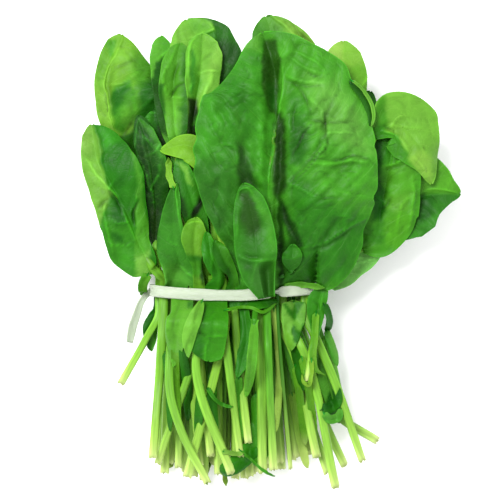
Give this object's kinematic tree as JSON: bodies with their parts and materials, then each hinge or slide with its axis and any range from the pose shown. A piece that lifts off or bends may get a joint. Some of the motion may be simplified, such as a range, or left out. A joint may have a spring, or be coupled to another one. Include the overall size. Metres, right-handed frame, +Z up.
{
  "type": "spinach bunch",
  "caption": "Bunch of fresh spinach: long-stalked leafy stems held by a flat white tape, lying on its back with its leaves fanned out.",
  "frame": {"origin": "middle of the bounding box, on the surface that the bunch lies on", "axes": "+Y from the cut stem ends to the leaf tips, +Z up from the surface, +X to the right as seen from above with the leaves away"},
  "size_m": [0.2408, 0.3009, 0.0798],
  "materials": {
    "light_green": "satin",
    "middle_green": "satin",
    "dark_green": "satin",
    "white_tape": "satin"
  },
  "bodies": {
    "root": {"band_cover_leaf": "middle_green", "band_front_leaf": "middle_green", "centre_hanging_leaf": "middle_green", "core_leaf_01": "dark_green", "core_leaf_02": "dark_green", "core_leaf_03": "dark_green", "core_leaf_04": "dark_green", "core_leaf_05": "dark_green", "core_leaf_06": "dark_green", "cupped_front_leaf": "dark_green", "dark_gap_leaf": "dark_green", "front_left_leaf": "middle_green", "great_leaf": "middle_green", "inner_leaf_01": "dark_green", "inner_leaf_02": "dark_green", "inner_leaf_03": "dark_green", "inner_leaf_04": "dark_green", "inner_leaf_05": "dark_green", "inner_leaf_06": "dark_green", "inner_leaf_07": "dark_green", "inner_leaf_08": "dark_green", "inner_leaf_09": "dark_green", "inner_leaf_10": "dark_green", "inner_leaf_11": "dark_green", "inner_leaf_12": "dark_green", "left_band_leaf": "light_green", "left_dark_leaf": "dark_green", "left_hanging_leaf": "dark_green", "left_outer_leaf": "middle_green", "left_shade_leaf": "dark_green", "left_top_leaf": "light_green", "low_hanging_leaf": "middle_green", "low_strip_leaf": "middle_green", "middle_green_leaf": "middle_green", "narrow_hanging_leaf": "light_green", "olive_leaf": "light_green", "pale_top_leaf": "light_green", "ragged_low_leaf": "light_green", "right_drooping_leaf": "light_green", "right_far_leaf": "dark_green", "right_hanging_leaf": "middle_green", "right_top_leaf": "light_green", "right_wide_leaf": "middle_green", "rolled_top_leaf": "light_green", "slim_front_leaf": "middle_green", "small_front_leaf": "middle_green", "tie_band": "white_tape", "top_leaf_left": "middle_green", "top_leaf_right": "light_green", "top_notch_leaf": "dark_green", "under_leaf_01": "dark_green", "under_leaf_02": "dark_green", "under_leaf_03": "dark_green", "under_leaf_04": "dark_green", "under_leaf_05": "dark_green", "under_leaf_06": "dark_green", "under_leaf_07": "dark_green", "under_leaf_08": "dark_green", "under_leaf_09": "dark_green", "yellow_green_leaf": "light_green"}
  },
  "joints": []
}
